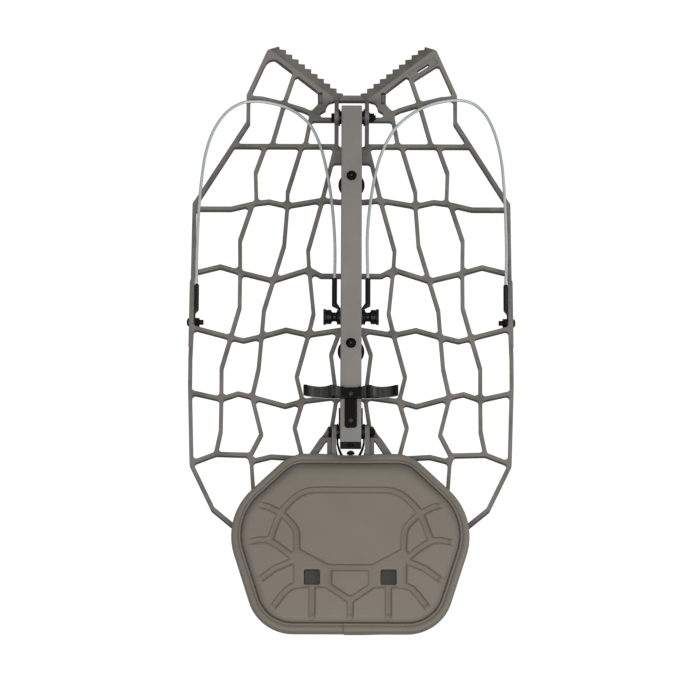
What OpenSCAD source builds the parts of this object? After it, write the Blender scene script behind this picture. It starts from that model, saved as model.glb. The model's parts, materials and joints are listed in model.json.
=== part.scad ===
// Hang-on tree stand, folded flat: a cast web platform with a toothed V claw, a square post
// hinged over it, two cable stays, a tree bracket and a padded seat hinged at the post's end.
// The stand lies on the platform's underside. +Z is up, +Y points to the V claw.

/* [Platform] */
// Height of the platform's side rails
rail_t = 14; // [12:0.5:16]
// Depth of the web's ribs, flush with the rails' tops
rib_t = 10; // [8:0.5:12]
// Width of every rib and rail
rib_w = 6; // [5:0.25:7]
// Radius of the fillets between ribs
web_fillet = 5; // [2:0.5:6]
// Distance from the middle to a side rail's centre line
rail_x = 248; // [246:0.5:250]
// Number of teeth on each claw arm
claw_teeth = 10; // [8:1:12]

/* [Post] */
// Outer width of the square post tube
post_w = 32.5; // [30:0.25:33]
// Wall of the post tube
post_wall = 3; // [2:0.25:4]
// Height of the hinge axes above the floor
axis_z = 43; // [42:0.5:45]
// Post end beyond the platform hinge
post_y1 = 364.5; // [362:0.5:368]
// Post end beyond the seat hinge
post_y0 = -192; // [-194:1:-190]
// Y of the platform hinge
fold_y = 352; // [350:0.5:353]
// Y of the knobs' cross bolt
cross_y = 16; // [14:0.5:18]
// Y of the seat hinge
seat_y = -171; // [-172:0.5:-170]

/* [Hardware] */
// Radius of the M8 hinge bolts
bolt_r = 4; // [3.9:0.05:4.1]
// Radial running clearance of a bolt in a turning part
run_gap = 0.06; // [0.03:0.01:0.1]
// Sideways gap between parts on different bodies
side_gap = 0.3; // [0.3:0.05:0.4]
// Across flats of the hinge bolts' heads and nuts
bolt_af = 13; // [12:0.5:13.5]
// Largest radius of a hand knob
knob_r = 12.4; // [11:0.1:12.5]
// Diameter of the coated cable
cable_d = 4.8; // [4:0.1:5]

/* [Seat] */
// Length of the stand from the claw tips to the seat's end
stand_l = 983; // [975:1:990]
// Y of the cushion's edge nearest to the post
cushion_y1 = -211; // [-213:1:-210]
// Underside of the cushion
cushion_z0 = 45.3; // [45.1:0.1:46]
// Height of the cushion's rolled border
border_h = 17.5; // [15:0.5:19]
// Height of the cushion at its middle
cushion_h = 21.5; // [20:0.5:30]
// Width of the rolled border
border_w = 15; // [12:0.5:18]
// Side of the square windows through the cushion
window_w = 22.5; // [20:0.5:26]
// Height of the dark pads in the windows
patch_h = 13.5; // [10:0.5:20]

/* [Hidden] */

paint = "#7b7770";
black = "#26262a";
post_h = post_w / 2;
post_z0 = axis_z - post_h;
post_z1 = axis_z + post_h;
run_r = bolt_r + run_gap;
bush_r = 6.5;
claw_y = stand_l / 2;
claw_tip = [117, claw_y];
claw_first = [105.9, claw_y - 6];
claw_pitch = [102, 84.5] / claw_teeth;
band_out = [127.3, 480.2];
band_in = [33.9, 402.7];
band_w = 7.2;
ear_x = [20.8, 27.4];
ear_r = 13;
washer_r = 13.4;
pad_x = [rail_x - 3.05, rail_x + 4.5];
pocket_deep = 9;
slot_at = [114, 451.5];
slot_turn = 34.6;
cable_bolt_y = 19.5;
cable_bolt_z = rail_t / 2;
lug_tab = 2.2;
lug_r = 3.7;
lug_in_r = 4.1;
lug_tilt = 10.5;
sleeve_out = 241.2;
sleeve_in = 25.9;
head_t = 5;
nut_t = 6.5;
plate_x = [post_h + 0.1, 18.45];
bail_x = [18.75, 21.5];
arm_x = [21.8, 28.8];
arm_r = 11.5;
frame_z = [31.5, 41];
pan_t = 3.6;
button_r = 20.8;
button_ys = [246, -32.5];
bracket_y = [-107, -123.5];
plate_y = [-124, -170];
plate_w = 19;
screw_ys = [-118, -159];
window_at = [57.5, -406];

// Outer edge of the platform, left side, from the claw tip to the hidden front edge.
rail_line = [
  [134, 478.6], [165, 403], [164.8, 357], [236.2, 235], [247.7, 216], [rail_x, 82], [rail_x, 5],
  [rail_x + 1.2, -40], [rail_x + 0.8, -90], [rail_x - 4, -214], [210, -285], [178, -312],
  [110, -345], [0, -358]];

// Ribs of one half of the web. Each is a run of points; the other half is their mirror image.
ribs = [
  [[165, 400], [142, 398], [108, 389], [77, 379], [63, 372]],
  [[93, 438], [108, 389], [127, 316]],
  [[64, 372], [74, 316]],
  [[63, 362], [24, 362]],
  [[188, 316], [24, 316]],
  [[137, 316], [152, 270], [150, 220]],
  [[79, 316], [101, 237], [101, 214]],
  [[25, 317], [46, 224]],
  [[244, 208.5], [190, 208.5], [152, 218], [130, 221], [101, 214], [46, 224], [20, 221], [0, 221]],
  [[156, 217], [175, 155], [174, 101]],
  [[101, 214], [105.5, 147], [122, 88]],
  [[46, 223], [68, 138], [66, 107]],
  [[245, 100.5], [205, 111], [174, 101.5], [122, 88], [66, 107], [47, 96], [0, 96]],
  [[174, 101], [174, 43], [187, -7]],
  [[122, 88], [136, 38], [139, -5]],
  [[66, 107], [58.5, 33], [66, -1]],
  [[245, 9], [187, -7], [167, -12], [139, -5], [101, 6], [66, -2], [17, 6], [0, 6]],
  [[187, -7], [200.5, -58], [200, -108]],
  [[139, -5], [143, -58], [152.5, -104.5]],
  [[66, -1], [84, -71], [74.5, -111]],
  [[17, 6], [31, -35], [24, -91], [23, -112], [30, -160], [22, -204]],
  [[243, -98], [200, -108], [174, -99], [152.5, -104.5], [101, -119], [74.5, -111], [31, -105],
    [0, -107]],
  [[200, -108], [200, -160], [207, -197]],
  [[152.5, -104.5], [137.5, -165], [154, -199]],
  [[74.5, -111], [86.5, -154], [74, -203]],
  [[242, -211], [207, -197], [155, -198.5]],
  [[153, -209], [122, -201], [90, -203], [74, -203], [22, -204], [0, -204]],
  [[156, -198.5], [152, -212], [149, -252], [131, -333]],
  [[74, -203], [66, -280], [70, -349]],
  [[22, -204], [28, -280], [20, -355]],
  [[158, -320], [140, -282], [66, -280], [28, -286], [0, -286]]];

// Corners of the cushion's outline, right half, each with the radius that rounds it.
cushion_end = -stand_l / 2;
cushion_half = [[91.5, cushion_y1, 50], [194, -310.5, 100], [136, cushion_end, 70]];

// Routes of the two stay cables, from the post's lug over the web to the platform's lug.
route_left = [
  [-25.9, 80, 43], [-25.4, 110, 42.6], [-26, 145, 40], [-28.5, 185, 35], [-32.5, 225, 28.5],
  [-39, 268, 21.5], [-49, 312, 17.4], [-64, 347, 17], [-85, 369, 17], [-108, 382, 17],
  [-134, 389, 17], [-156, 391, 17], [-178, 387, 17], [-200, 371, 17], [-219, 341, 17],
  [-231, 302, 17], [-237, 255, 17], [-240, 210, 17], [-241.5, 165, 17], [-242, 125, 17.6],
  [-241.8, 100, 19], [-241.2, 79.2, 18.1]];
route_right = [
  [25.9, 80, 43], [25.2, 110, 42.6], [24.8, 145, 40], [27, 185, 35], [31.5, 225, 28.5],
  [38.5, 268, 21.5], [50, 308, 17.4], [70, 346, 17], [97, 371, 17], [123, 385, 17],
  [148, 392, 17], [172, 394, 17], [195, 387, 17], [214, 367, 17], [228, 334, 17],
  [237, 291, 17], [241, 240, 17], [242.6, 190, 17], [243.2, 150, 17.2], [243, 122, 17.8],
  [242.2, 99, 19], [241.2, 79.2, 18.1]];

function mirror_x(points) = [for (p = points) [-p[0], p[1]]];
function turn(points) = [for (i = [len(points) - 1 : -1 : 0]) points[i]];

// A point on the smooth curve through four points, between the middle two.
function smooth(a, b, c, d, t) =
  0.5 * (2 * b + (c - a) * t + (2 * a - 5 * b + 4 * c - d) * t * t
    + (3 * b - a - 3 * c + d) * t * t * t);
function curve(p, steps) = [
  for (i = [0 : len(p) - 2]) for (s = [0 : steps - 1])
    smooth(p[max(i - 1, 0)], p[i], p[i + 1], p[min(i + 2, len(p) - 1)], s / steps),
  p[len(p) - 1]];
function unit(v) = v / norm(v);

// Point i of a run in the plan, moved sideways by d and mitred at the bends.
function beside(p, i, d) =
  let (n = len(p) - 1,
       a = unit(p[max(i, 1)] - p[max(i, 1) - 1]),
       b = unit(p[min(i, n - 1) + 1] - p[min(i, n - 1)]),
       m = [-a[1] - b[1], a[0] + b[0]])
  p[i] + d * m / (1 + a * b);

// Outline through corners given as [x, y, radius], each rounded in a number of steps.
function rounded(c, steps) = [
  for (i = [0 : len(c) - 1])
    let (q = [c[i][0], c[i][1]], r = c[i][2],
         before = c[(i + len(c) - 1) % len(c)],
         after = c[(i + 1) % len(c)],
         a = unit(q - [before[0], before[1]]),
         b = unit([after[0], after[1]] - q),
         bend = atan2(a[0] * b[1] - a[1] * b[0], a * b),
         n = sign(bend) * [-a[1], a[0]],
         middle = q - r * tan(abs(bend) / 2) * a + r * n)
      for (k = [0 : steps])
        let (v = bend * k / steps)
          middle - r * [n[0] * cos(v) - n[1] * sin(v), n[0] * sin(v) + n[1] * cos(v)]];

// A closed round tube swept along a run of points.
module tube_along(p, r, sides = 8) {
  n = len(p);
  rings = [for (i = [0 : n - 1])
    let (t = unit(p[min(i + 1, n - 1)] - p[max(i - 1, 0)]),
         side = unit(cross(t, [0, 0, 1])),
         up = cross(side, t))
      for (k = [0 : sides - 1])
        p[i] + r * (side * cos(k * 360 / sides) + up * sin(k * 360 / sides))];
  walls = [for (i = [0 : n - 2]) for (k = [0 : sides - 1])
    let (a = i * sides + k, b = i * sides + (k + 1) % sides)
      [a, a + sides, b + sides, b]];
  first = [for (k = [0 : sides - 1]) k];
  last = [for (k = [sides - 1 : -1 : 0]) (n - 1) * sides + k];
  polyhedron(points = rings, faces = concat(walls, [first], [last]));
}

// A cylinder along X between two places.
module rod_x(x0, x1, r, y, z, sides = 48) {
  translate([x0, y, z]) rotate([0, 90, 0]) cylinder(h = x1 - x0, r = r, $fn = sides);
}

// A hexagon along X, with flats above and below.
module hex_x(x0, x1, af, y, z) {
  translate([x0, y, z]) rotate([0, 90, 0]) rotate([0, 0, 90])
    cylinder(h = x1 - x0, r = af / sqrt(3), $fn = 6);
}

module both_sides() {
  children();
  mirror([1, 0, 0]) children();
}

// One straight bar in the plan, with round ends.
module bar(a, b, w) {
  d = b - a;
  translate(a) rotate(atan2(d[1], d[0])) translate([0, -w / 2]) square([norm(d), w]);
  translate(a) circle(d = w, $fn = 16);
  translate(b) circle(d = w, $fn = 16);
}

module strip(points, w) {
  for (i = [0 : len(points) - 2]) bar(points[i], points[i + 1], w);
}

// One band of even width along a run of points, with square ends.
module ribbon(points, w) {
  polygon(concat([for (i = [0 : len(points) - 1]) beside(points, i, w / 2)],
    turn([for (i = [0 : len(points) - 1]) beside(points, i, -w / 2)])));
}

// Outline of one claw arm's toothed edge, from the tip down to the root.
module teeth() {
  steps = [for (i = [0 : claw_teeth - 1]) each [
    [claw_first[0] - i * claw_pitch[0], claw_first[1] - i * claw_pitch[1]],
    [claw_first[0] - i * claw_pitch[0], claw_first[1] - (i + 1) * claw_pitch[1]]]];
  polygon(concat([[band_out[0] - 5, band_out[1] - 10], [130, 483.6], claw_tip,
    [claw_tip[0] - 1.2, claw_first[1]]], steps, [[13, 398], [band_in[0] + 3, band_in[1] - 6]]));
}

// Root of a claw arm, with its stepped inner edge.
module claw_root() {
  polygon([[55, 414], [54, 388], [66, 374], [64, 367], [58, 367], [52, 372], [47, 375],
    [42, 378], [40.5, 385], [37, 391], [30, 393], [20, 404], [34, 404]]);
}

// End of a claw arm, between the tip and the side rail.
module claw_end() {
  polygon([[137.4, 477.5], [135.8, 482.2], [119, 490.4], [112, 476], [124, 470]]);
}

// Solid corner under it, where the claw arm meets the side rail.
module claw_corner() {
  polygon([[134, 481], [124, 480], [104, 459], [112, 458.5], [114.5, 461.7], [119, 464.8],
    [126, 466.5], [132.5, 464.5], [137, 460], [140.5, 453]]);
}

module rail_plan() {
  ribbon(rail_line, rib_w);
  translate([rail_x - 1, -22]) square([pad_x[1] - rail_x + 1, 108]);
}

module claw_band() {
  ribbon([[129.5, 477.5], [36.1, 400]], band_w);
  claw_end();
}

module claw_plan() {
  claw_band();
  bar([38, 398.5], [0, 398.5], 9.5);
  claw_root();
  claw_corner();
}

module web_plan() {
  offset(r = -web_fillet, $fn = 20) offset(r = web_fillet, $fn = 20) {
    both_sides() {
      rail_plan();
      claw_plan();
      for (r = ribs) strip(r, rib_w);
      translate([0, 286]) square([27, 28]);
    }
    translate(slot_at) rotate(slot_turn) translate([-28, -9]) square([56, 17]);
  }
}

// Places things at the right claw arm's slot for a tie-down strap.
module slot_frame(z) {
  translate([slot_at[0], slot_at[1], z]) rotate([0, 0, slot_turn]) children();
}

// One hinge ear: a plate that rises from the web and rounds over the axis.
module ear() {
  translate([ear_x[0], 0, 0]) rotate([90, 0, 90]) linear_extrude(ear_x[1] - ear_x[0])
    polygon([[398, rail_t - rib_t], [398, rail_t], [fold_y + ear_r, axis_z],
      [fold_y - ear_r, axis_z], [308, rail_t], [288, rail_t], [288, rail_t - rib_t]]);
  rod_x(ear_x[0], ear_x[1], ear_r, fold_y, axis_z);
}

module platform_casting() {
  bevel = 20;
  color(paint) difference() {
    union() {
      translate([0, 0, rail_t - rib_t]) linear_extrude(rib_t) web_plan();
      linear_extrude(rail_t - rib_t + 1) offset(delta = -0.15) both_sides() {
        rail_plan();
        claw_band();
      }
      translate([0, 0, 2]) linear_extrude(rail_t - 2) both_sides() teeth();
      both_sides() ear();
    }
    both_sides() {
      // The toothed edge slopes away from the claw's flat band.
      translate([band_in[0], band_in[1], rail_t])
        rotate([0, 0, atan2(band_out[1] - band_in[1], band_out[0] - band_in[0])])
          rotate([-bevel, 0, 0]) translate([-15, -6, 0]) cube([150, 46, 20]);
      translate([46.7, 388, rail_t - pocket_deep]) cube([6.9, 20.4, pocket_deep + 1]);
      rod_x(pad_x[0] - 12, pad_x[0], 7.8, cable_bolt_y, cable_bolt_z);
      rod_x(rail_x - 10, rail_x + 10, bolt_r + 0.1, cable_bolt_y, cable_bolt_z);
      rod_x(ear_x[0] - 1, ear_x[1] + 1, run_r, fold_y, axis_z);
    }
    slot_frame(rail_t - 1.5) translate([-25.5, -6.2, 0]) cube([51, 12.4, 5]);
    slot_frame(0) translate([-11, -2.2, 0]) cube([22, 4.4, 30]);
  }
}

// Hexagon bolt along X: head on the left, shank to the right.
module hinge_bolt(y, head_x, end_x) {
  difference() {
    hex_x(head_x - head_t, head_x, bolt_af, y, axis_z);
    rod_x(head_x - head_t - 1, head_x - head_t + 0.6, 4.6, y, axis_z, 32);
  }
  rod_x(head_x - head_t + 0.4, head_x - head_t + 0.8, 4.6, y, axis_z, 32);
  rod_x(head_x, end_x, bolt_r, y, axis_z);
}

module platform_hinge_bolt() {
  color(black) hinge_bolt(fold_y, -ear_x[1], 38);
}

module platform_hinge_nut() {
  color(black) difference() {
    union() {
      rod_x(ear_x[1], ear_x[1] + 1.6, 8.4, fold_y, axis_z);
      hex_x(ear_x[1] + 1.6, ear_x[1] + 1.6 + nut_t, bolt_af, fold_y, axis_z);
    }
    rod_x(ear_x[1] - 1, 50, bolt_r, fold_y, axis_z);
  }
}

module platform_hinge_washers() {
  x0 = post_h + side_gap;
  color(black) both_sides() difference() {
    union() {
      rod_x(x0, x0 + 1.8, washer_r - 2.8, fold_y, axis_z);
      rod_x(x0 + 1.8, ear_x[0], washer_r, fold_y, axis_z);
    }
    rod_x(x0 - 1, ear_x[0] + 1, bolt_r, fold_y, axis_z);
  }
}

module cable_bolts() {
  head_x = pad_x[1];
  color(black) both_sides() {
    translate([head_x, cable_bolt_y, cable_bolt_z]) rotate([0, 90, 0])
      rotate_extrude($fn = 48) polygon([[0, 0], [6.5, 0], [6.5, 1], [5.6, 2.4], [3.8, 3.4],
        [2.2, 3.6], [2.2, 1.6], [0, 1.6]]);
    rod_x(230, head_x, bolt_r, cable_bolt_y, cable_bolt_z);
  }
}

module cable_bolt_nuts() {
  x1 = pad_x[0] - lug_tab;
  color(black) both_sides() difference() {
    hex_x(x1 - nut_t, x1, bolt_af, cable_bolt_y, cable_bolt_z);
    rod_x(x1 - 10, x1 + 1, bolt_r, cable_bolt_y, cable_bolt_z);
  }
}

// A swaged cable lug pointing along +Y: an eye on a bolt, a bent tab and a sleeve of radius r.
// eye_x is the eye's face against what it is bolted to, side points to the sleeve,
// which runs from start to end.
module cable_lug(eye_x, sleeve_x, side, eye_r, r, start, end) {
  far = eye_x + side * lug_tab;
  near_x = min(eye_x, far);
  outer = sleeve_x + side * r * 0.8;
  inner = sleeve_x - side * r * 0.8;
  length = end - start;
  difference() {
    union() {
      rod_x(near_x, near_x + lug_tab, eye_r, 0, 0);
      translate([near_x, 0, -3.2]) cube([lug_tab, start - 3, 6.4]);
      translate([0, start, -3]) linear_extrude(6) polygon([[eye_x, -7], [far, -4.3], [outer, 1],
        [outer, 6], [inner, 6], [eye_x, -3.4]]);
      translate([sleeve_x, start, 0]) rotate([-90, 0, 0]) rotate_extrude($fn = 40)
        polygon([[0, 0], [r - 1, 0], [r, 2], [r, length - 0.8], [r - 0.6, length], [0, length]]);
    }
    rod_x(near_x - 1, near_x + lug_tab + 1, bolt_r + 0.1, 0, 0);
  }
}

module outer_cable_lug() {
  color(black) translate([0, cable_bolt_y, cable_bolt_z]) rotate([lug_tilt, 0, 0])
    cable_lug(pad_x[0], sleeve_out, -1, 6.4, lug_r, 18, 60);
}

module outer_cable_lug_right() { outer_cable_lug(); }
module outer_cable_lug_left() { mirror([1, 0, 0]) outer_cable_lug(); }

module inner_cable_lug() {
  color(black) translate([0, cross_y, axis_z])
    cable_lug(plate_x[0], sleeve_in, 1, 12, lug_in_r, 17, 63);
}

module inner_cable_lug_right() { inner_cable_lug(); }
module inner_cable_lug_left() { mirror([1, 0, 0]) inner_cable_lug(); }

// Rounded square of the post, in the XZ plane.
module post_section(w, r) {
  offset(r = r, $fn = 24) square(w - 2 * r, center = true);
}

module along_post(y0, y1) {
  translate([0, y1, axis_z]) rotate([90, 0, 0]) linear_extrude(y1 - y0) children();
}

module post_tube() {
  color(paint) difference() {
    along_post(post_y0, post_y1) difference() {
      post_section(post_w, 2.5);
      post_section(post_w - 2 * post_wall, 1);
    }
    for (y = [fold_y, cross_y, seat_y]) rod_x(-20, 20, bush_r + 0.05, y, axis_z);
    for (y = button_ys) translate([0, y, 0]) cylinder(h = 100, r = 3.1, $fn = 32);
    for (y = screw_ys) translate([0, y, axis_z]) cylinder(h = 50, r = 2.6, $fn = 32);
  }
}

// A moulded plug with a thin flange over the tube's end. Side is the way it faces.
module post_plug(y, side) {
  translate([0, y, 0]) rotate([0, 0, side < 0 ? 180 : 0]) difference() {
    union() {
      translate([0, 1.5, axis_z]) rotate([90, 0, 0]) linear_extrude(1.5) post_section(post_w - 0.4, 2.5);
      translate([0, 0, axis_z]) rotate([90, 0, 0]) linear_extrude(2.5)
        post_section(post_w - 2 * post_wall - 0.3, 1);
    }
    translate([-5, -1, axis_z - 6]) cube([10, 4, 12]);
  }
}

module post_cap_hinge_end() {
  color(paint) post_plug(post_y1, 1);
}

module post_cap_seat_end() {
  color(black) post_plug(post_y0, -1);
}

module bush(y) {
  color("silver") difference() {
    rod_x(-post_h, post_h, bush_r, y, axis_z);
    rod_x(-post_h - 1, post_h + 1, run_r, y, axis_z);
  }
}

module post_hinge_bush() { bush(fold_y); }
module post_cross_bush() { bush(cross_y); }
module post_seat_bush() { bush(seat_y); }

// Round stand-off button under the post, on a short neck.
module packing_button(y) {
  color(black) translate([0, y, 0]) difference() {
    rotate_extrude($fn = 64) polygon([[0, 16], [button_r - 1.5, 16], [button_r, 17.5],
      [button_r, 20.5], [button_r - 1.5, 22], [11, 22.6], [10, 24], [10, post_z0], [0, post_z0]]);
    translate([0, 0, 10]) cylinder(h = 30, r = 3.1, $fn = 32);
    translate([0, 0, 15]) cylinder(h = 5, r = 6.4, $fn = 32);
  }
}

module packing_button_upper() { packing_button(button_ys[0]); }
module packing_button_lower() { packing_button(button_ys[1]); }

module button_bolts() {
  color(black) for (y = button_ys) translate([0, y, 0]) {
    translate([0, 0, 16.5]) cylinder(h = post_z1 - 16.5 + 1, r = 3, $fn = 32);
    translate([0, 0, post_z1]) difference() {
      rotate_extrude($fn = 48) polygon([[0, 0], [8, 0], [8, 1], [7.2, 2.4], [5.4, 3.6], [3.4, 4],
        [0, 4]]);
      translate([0, 0, 1.8]) cylinder(h = 5, r = 2.9, $fn = 6);
    }
  }
}

module button_nuts() {
  color(black) for (y = button_ys) translate([0, y, 16.2]) difference() {
    cylinder(h = 3.8, r = 5.6, $fn = 6);
    translate([0, 0, -1]) cylinder(h = 6, r = 3, $fn = 32);
  }
}

module cross_bolt() {
  color(black) rod_x(-41, 41, bolt_r, cross_y, axis_z);
}

// Hand knob along +X: base flange, neck, ring and a knurled outer flange.
module knob() {
  grips = 20;
  color(black) translate([0, cross_y, axis_z]) rotate([0, 90, 0]) difference() {
    rotate_extrude($fn = 64) polygon([
      [run_r, 19], [knob_r - 0.8, 19], [knob_r, 19.6], [knob_r, 20.8], [knob_r - 1, 21.5],
      [8, 22.4], [7, 24], [7, 28], [8.4, 30], [knob_r - 1.8, 30.4], [knob_r - 1.2, 31],
      [knob_r - 1.2, 37.8], [knob_r - 1.8, 38.4], [knob_r, 38.8], [knob_r, 42.2],
      [knob_r - 0.8, 43], [run_r, 43]]);
    for (a = [0 : grips - 1]) rotate([0, 0, a * 360 / grips]) translate([knob_r + 0.5, 0, 38.6])
      cylinder(h = 6, r = 1.1, $fn = 16);
  }
}

module knob_right() { knob(); }
module knob_left() { mirror([1, 0, 0]) knob(); }

// Half of the tree bracket's section: a cusp, a hollow lobe and a thin lipped tip.
lobe = [29.5, 66];
lobe_z = [80, 9];
lobe_wall = 2.8;
function lobe_top(x) = let (t = (x - lobe[0]) / (lobe[1] - lobe[0]))
  lobe_z[0] - lobe_z[1] * sin(180 * pow(t, 0.85)) - 3 * t;
function lobe_under(x) = post_z1 + 0.1 + 13.5 * pow((x - 20) / 50, 2.2);
bracket_half = concat([[10, 67], [10.5, 71], [16, 71], [20, 74.5]],
  [for (i = [0 : 14]) let (x = lobe[0] + (lobe[1] - lobe[0]) * i / 14) [x, lobe_top(x)]],
  [[67.5, 79.2], [72, 79.6], [72.5, 75.4]],
  [for (x = [70 : -5 : 20]) [x, lobe_under(x)]]);
bracket_void = concat([[24, lobe_under(24) + lobe_wall], [24, 73.6]],
  [for (x = [30 : 4 : 58]) [x, lobe_top(x) - lobe_wall]],
  [[62, (lobe_top(62) + lobe_under(62)) / 2]],
  [for (x = [58 : -4 : 30]) [x, lobe_under(x) + lobe_wall]]);

module tree_bracket() {
  color(black) difference() {
    translate([0, bracket_y[0], 0]) rotate([90, 0, 0])
      linear_extrude(bracket_y[0] - bracket_y[1]) difference() {
        polygon(concat(bracket_half, turn(mirror_x(bracket_half))));
        polygon(bracket_void);
        polygon(mirror_x(bracket_void));
      }
    translate([0, screw_ys[0], 50]) cylinder(h = 40, r = 2.6, $fn = 32);
  }
}

module bracket_plate() {
  z0 = post_z1 + 0.1;
  color(black) difference() {
    translate([-plate_w / 2, plate_y[1], z0]) union() {
      translate([0, 4, 0]) cube([plate_w, plate_y[0] - plate_y[1] - 4, 3]);
      translate([4, 0, 0]) cube([plate_w - 8, 10, 3]);
      for (x = [4, plate_w - 4]) translate([x, 4, 0]) cylinder(h = 3, r = 4, $fn = 32);
    }
    translate([0, screw_ys[1], z0 - 1]) cylinder(h = 5, r = 2.6, $fn = 32);
  }
}

// Dome-headed screw down into the post.
module dome_screw(y, z, head_r) {
  translate([0, y, post_z1 - 8]) cylinder(h = z - post_z1 + 8, r = 2.5, $fn = 32);
  translate([0, y, z]) difference() {
    rotate_extrude($fn = 48) polygon([[0, 0], [head_r, 0], [head_r, 0.6], [head_r * 0.82, 1.9],
      [head_r * 0.45, 2.7], [0, 2.8]]);
    translate([0, 0, 1.2]) cylinder(h = 5, r = 1.7, $fn = 6);
  }
}

module bracket_screws() {
  color(black) {
    dome_screw(screw_ys[0], 67, 4.4);
    dome_screw(screw_ys[1], post_z1 + 3.1, 3.8);
  }
}

// Thin steel plates each side of the post that stiffen it at the seat hinge.
module post_side_plates() {
  h = 22;
  color(black) both_sides() difference() {
    union() {
      translate([plate_x[0], seat_y, axis_z - h / 2]) cube([plate_x[1] - plate_x[0], 35, h]);
      rod_x(plate_x[0], plate_x[1], h / 2, seat_y, axis_z);
    }
    rod_x(plate_x[0] - 1, plate_x[1] + 1, run_r, seat_y, axis_z);
  }
}

module seat_hinge_bolt() {
  color(black) hinge_bolt(seat_y, -arm_x[1] - side_gap, 37.5);
}

module seat_hinge_nut() {
  x0 = arm_x[1] + side_gap;
  color(black) difference() {
    hex_x(x0, x0 + nut_t, bolt_af, seat_y, axis_z);
    rod_x(x0 - 1, 50, bolt_r, seat_y, axis_z);
  }
}

// Outline of the cushion, drawn in by a margin.
module cushion_plan(inset) {
  offset(delta = -inset)
    polygon(rounded(concat(cushion_half,
      turn([for (c = cushion_half) [-c[0], c[1], c[2]]])), 12));
}

// Cast ring with spokes that carries the pan.
module seat_ring_plan() {
  offset(r = -1, $fn = 20) offset(r = 1, $fn = 20) {
    difference() {
      cushion_plan(22);
      cushion_plan(32);
    }
    both_sides() {
      bar([31.8, -166.2], [74, -232], 10);
      bar([25.3, -190], [25.3, -340], 7);
      bar([25.3, -340], [70, -460], 7);
      bar([25.3, -340], [150, -340], 7);
      bar([28, -222], [0, -222], 8);
      bar([25.3, -340], [0, -340], 7);
      bar([32.5, -171], [32.5, -215], 7);
    }
  }
}

module seat_frame() {
  x0 = arm_x[0];
  w = arm_x[1] - arm_x[0];
  color(paint) difference() {
    union() {
      translate([0, 0, frame_z[0]]) linear_extrude(frame_z[1] - frame_z[0]) difference() {
        seat_ring_plan();
        translate([-x0, -213]) square([2 * x0, 80]);
      }
      both_sides() {
        rod_x(x0, arm_x[1], arm_r, seat_y, axis_z);
        translate([x0, 0, 0]) rotate([90, 0, 90]) linear_extrude(w)
          polygon([[seat_y, axis_z - arm_r], [seat_y, axis_z + arm_r], [-184, axis_z + arm_r - 1],
            [-212, 44.6], [-214, frame_z[1]], [-214, frame_z[0]]]);
      }
    }
    both_sides() rod_x(x0 - 1, 50, run_r, seat_y, axis_z);
    both_sides() rod_x(arm_x[1] + 0.1, 50, 9, seat_y, axis_z);
    rotate([90, 0, 0]) translate([0, 36, 200]) cylinder(h = 40, r = 2.1, $fn = 32);
    for (p = pan_points) translate([p[0], p[1], 20]) cylinder(h = 30, r = 2.1, $fn = 32);
  }
}

pan_points = [[-70, -460], [70, -460], [-120, -340], [120, -340], [-25.3, -240], [25.3, -240]];

// Black strap from the hinge's two eyes inward to a cross piece under the cushion.
module seat_bail() {
  mid = (bail_x[0] + bail_x[1]) / 2;
  t = bail_x[1] - bail_x[0];
  half = [[mid, seat_y], [mid, -187], [18.6, -194.5], [16.2, -201], [13.4, -207],
    [10.5, -212.4], [8, -215.5]];
  color(black) difference() {
    union() {
      translate([0, 0, frame_z[0]]) linear_extrude(frame_z[1] - frame_z[0])
        ribbon(concat(half, turn(mirror_x(half))), t);
      both_sides() rod_x(bail_x[0], bail_x[1], 12.4, seat_y, axis_z);
    }
    both_sides() rod_x(bail_x[0] - 1, bail_x[1] + 1, run_r, seat_y, axis_z);
    rotate([90, 0, 0]) translate([0, 36, 200]) cylinder(h = 40, r = 2.1, $fn = 32);
  }
}

// Mushroom stop: a rubber dome on a stem screwed through the strap into the frame.
module seat_bumper() {
  color(black) translate([0, -199, 36]) rotate([90, 0, 0]) rotate_extrude($fn = 48)
    polygon([[0, 0], [2.6, 0.3], [4.8, 1.6], [6, 3.6], [6.2, 5], [3, 6.5], [3, 14.9], [2, 14.9],
      [2, 26], [0, 26]]);
}

module seat_pan() {
  color(black) translate([0, 0, frame_z[1] + 0.2]) difference() {
    linear_extrude(pan_t) cushion_plan(10);
    for (p = pan_points) translate([p[0], p[1], -1]) cylinder(h = 10, r = 2.1, $fn = 32);
  }
}

module pan_screws() {
  color(black) for (p = pan_points) translate([p[0], p[1], 0]) {
    translate([0, 0, frame_z[0] - 2]) cylinder(h = 2, r = 4, $fn = 32);
    translate([0, 0, frame_z[0]]) cylinder(h = frame_z[1] + pan_t - frame_z[0], r = 2, $fn = 32);
  }
}

module windows(w, z, h) {
  for (s = [-1, 1]) translate([s * window_at[0], window_at[1], z + h / 2])
    cube([w, w, h], center = true);
}

module seat_cushion() {
  color(paint) translate([0, 0, cushion_z0]) difference() {
    union() {
      linear_extrude(border_h) cushion_plan(0);
      linear_extrude(cushion_h) cushion_plan(border_w);
    }
    windows(window_w, -1, cushion_h + 2);
  }
}

module cushion_patches() {
  color(black) windows(window_w - 0.6, cushion_z0, patch_h);
}

module cable_left() { color("silver") tube_along(curve(route_left, 2), cable_d / 2); }
module cable_right() { color("silver") tube_along(curve(route_right, 2), cable_d / 2); }

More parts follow.
